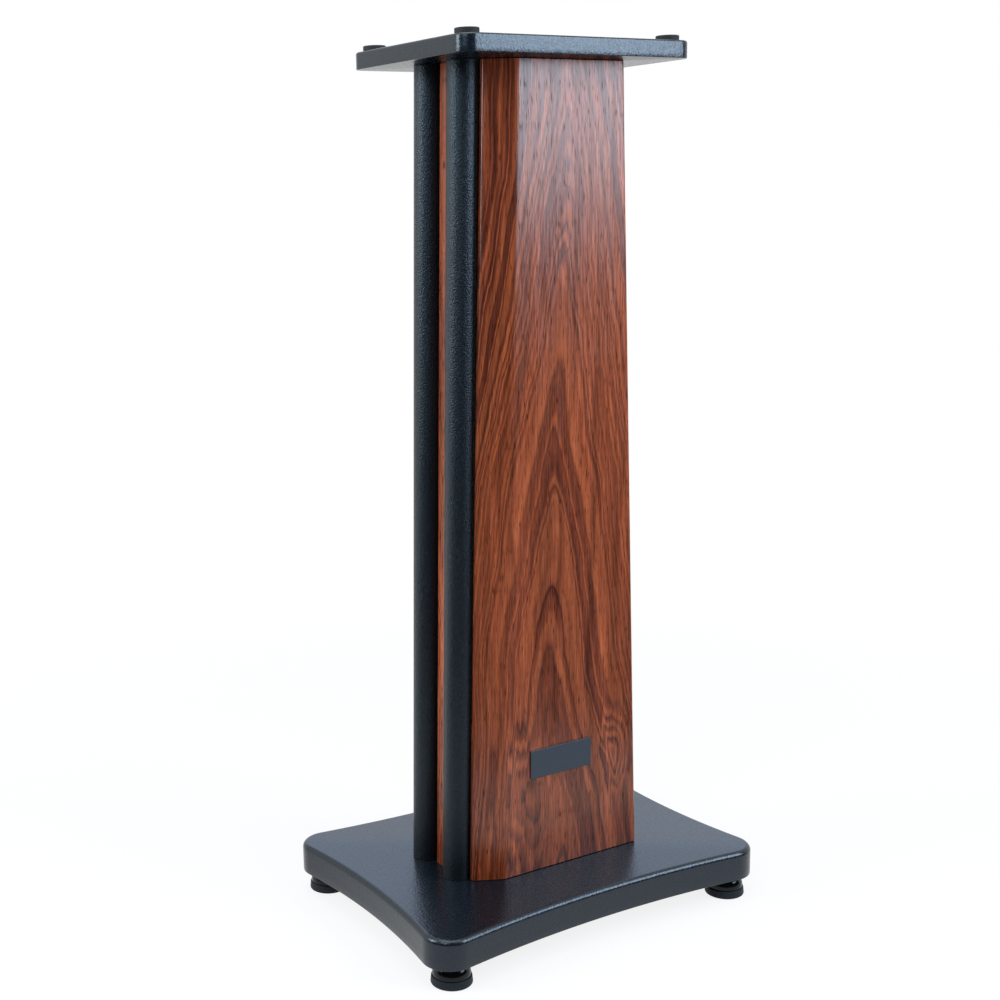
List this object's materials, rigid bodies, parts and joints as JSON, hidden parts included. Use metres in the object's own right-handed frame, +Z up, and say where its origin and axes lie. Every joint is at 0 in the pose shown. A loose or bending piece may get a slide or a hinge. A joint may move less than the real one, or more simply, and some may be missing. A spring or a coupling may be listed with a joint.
{
  "type": "speaker stand",
  "caption": "Floor stand for a bookshelf loudspeaker: leaning black tubes and tapered wooden boards between a waisted base on levelling feet and a top plate with rubber pads.",
  "frame": {"origin": "on the floor, below the middle of the stand", "axes": "+Z up, -Y towards the front with the badge, +X to the right seen from the front"},
  "size_m": [0.3672, 0.2664, 0.8],
  "materials": {
    "satin_black": "satin black lacquer with a fine speckle, on fibreboard",
    "powder_black": "pebbled black powder coat on steel tube",
    "wood": "red-brown veneer with arched grain, satin lacquer",
    "badge": "smooth slate grey, bare",
    "rubber_pad": "matte black rubber",
    "foot_matte": "matte black plastic",
    "foot_gloss": "glossy black plastic",
    "zinc_steel": "zinc plated steel",
    "black_steel": "blackened steel"
  },
  "bodies": {
    "column": {"base_plate": "satin_black", "top_plate": "satin_black", "front_panel": "wood", "middle_board": "wood", "rear_panel": "wood", "badge_plate": "badge", "tube_front_left": "powder_black", "tube_foot_plug_front_left": "zinc_steel", "tube_head_plug_front_left": "zinc_steel", "rubber_pad_front_left": "rubber_pad", "foot_insert_front_left": "zinc_steel", "base_bolt_front_left": "zinc_steel", "top_bolt_front_left": "black_steel", "tube_front_right": "powder_black", "tube_foot_plug_front_right": "zinc_steel", "tube_head_plug_front_right": "zinc_steel", "rubber_pad_front_right": "rubber_pad", "foot_insert_front_right": "zinc_steel", "base_bolt_front_right": "zinc_steel", "top_bolt_front_right": "black_steel", "tube_rear_left": "powder_black", "tube_foot_plug_rear_left": "zinc_steel", "tube_head_plug_rear_left": "zinc_steel", "rubber_pad_rear_left": "rubber_pad", "foot_insert_rear_left": "zinc_steel", "base_bolt_rear_left": "zinc_steel", "top_bolt_rear_left": "black_steel", "tube_rear_right": "powder_black", "tube_foot_plug_rear_right": "zinc_steel", "tube_head_plug_rear_right": "zinc_steel", "rubber_pad_rear_right": "rubber_pad", "foot_insert_rear_right": "zinc_steel", "base_bolt_rear_right": "zinc_steel", "top_bolt_rear_right": "black_steel", "base_screw_front_left": "zinc_steel", "top_screw_front_left": "black_steel", "base_screw_front_right": "zinc_steel", "top_screw_front_right": "black_steel", "base_screw_middle_left": "zinc_steel", "top_screw_middle_left": "black_steel", "base_screw_middle_right": "zinc_steel", "top_screw_middle_right": "black_steel", "base_screw_rear_left": "zinc_steel", "top_screw_rear_left": "black_steel", "base_screw_rear_right": "zinc_steel", "top_screw_rear_right": "black_steel"},
    "foot_front_left": {"foot_pad_front_left": "foot_matte"},
    "screw_front_left": {"foot_hub_front_left": "foot_gloss", "foot_stud_front_left": "zinc_steel"},
    "foot_front_right": {"foot_pad_front_right": "foot_matte"},
    "screw_front_right": {"foot_hub_front_right": "foot_gloss", "foot_stud_front_right": "zinc_steel"},
    "foot_rear_left": {"foot_pad_rear_left": "foot_matte"},
    "screw_rear_left": {"foot_hub_rear_left": "foot_gloss", "foot_stud_rear_left": "zinc_steel"},
    "foot_rear_right": {"foot_pad_rear_right": "foot_matte"},
    "screw_rear_right": {"foot_hub_rear_right": "foot_gloss", "foot_stud_rear_right": "zinc_steel"}
  },
  "joints": [
    {"name": "foot_travel_front_left", "type": "slide", "parent": "column", "child": "foot_front_left", "axis": [0, 0, -1], "range_m": [0, 0.0075]},
    {"name": "foot_turn_front_left", "type": "hinge", "parent": "foot_front_left", "child": "screw_front_left", "pos_m": [-0.158, -0.1105, 0.0077], "axis": [0, 0, -1], "range_deg": [0, 2160]},
    {"name": "foot_travel_front_right", "type": "slide", "parent": "column", "child": "foot_front_right", "axis": [0, 0, -1], "range_m": [0, 0.0075]},
    {"name": "foot_turn_front_right", "type": "hinge", "parent": "foot_front_right", "child": "screw_front_right", "pos_m": [0.158, -0.1105, 0.0077], "axis": [0, 0, -1], "range_deg": [0, 2160]},
    {"name": "foot_travel_rear_left", "type": "slide", "parent": "column", "child": "foot_rear_left", "axis": [0, 0, -1], "range_m": [0, 0.0075]},
    {"name": "foot_turn_rear_left", "type": "hinge", "parent": "foot_rear_left", "child": "screw_rear_left", "pos_m": [-0.158, 0.1105, 0.0077], "axis": [0, 0, -1], "range_deg": [0, 2160]},
    {"name": "foot_travel_rear_right", "type": "slide", "parent": "column", "child": "foot_rear_right", "axis": [0, 0, -1], "range_m": [0, 0.0075]},
    {"name": "foot_turn_rear_right", "type": "hinge", "parent": "foot_rear_right", "child": "screw_rear_right", "pos_m": [0.158, 0.1105, 0.0077], "axis": [0, 0, -1], "range_deg": [0, 2160]}
  ],
  "couplings": [
    {"joint": "foot_turn_front_left", "follows": "foot_travel_front_left", "rad_per_m": 5026.5},
    {"joint": "foot_turn_front_right", "follows": "foot_travel_front_right", "rad_per_m": 5026.5},
    {"joint": "foot_turn_rear_left", "follows": "foot_travel_rear_left", "rad_per_m": 5026.5},
    {"joint": "foot_turn_rear_right", "follows": "foot_travel_rear_right", "rad_per_m": 5026.5}
  ]
}
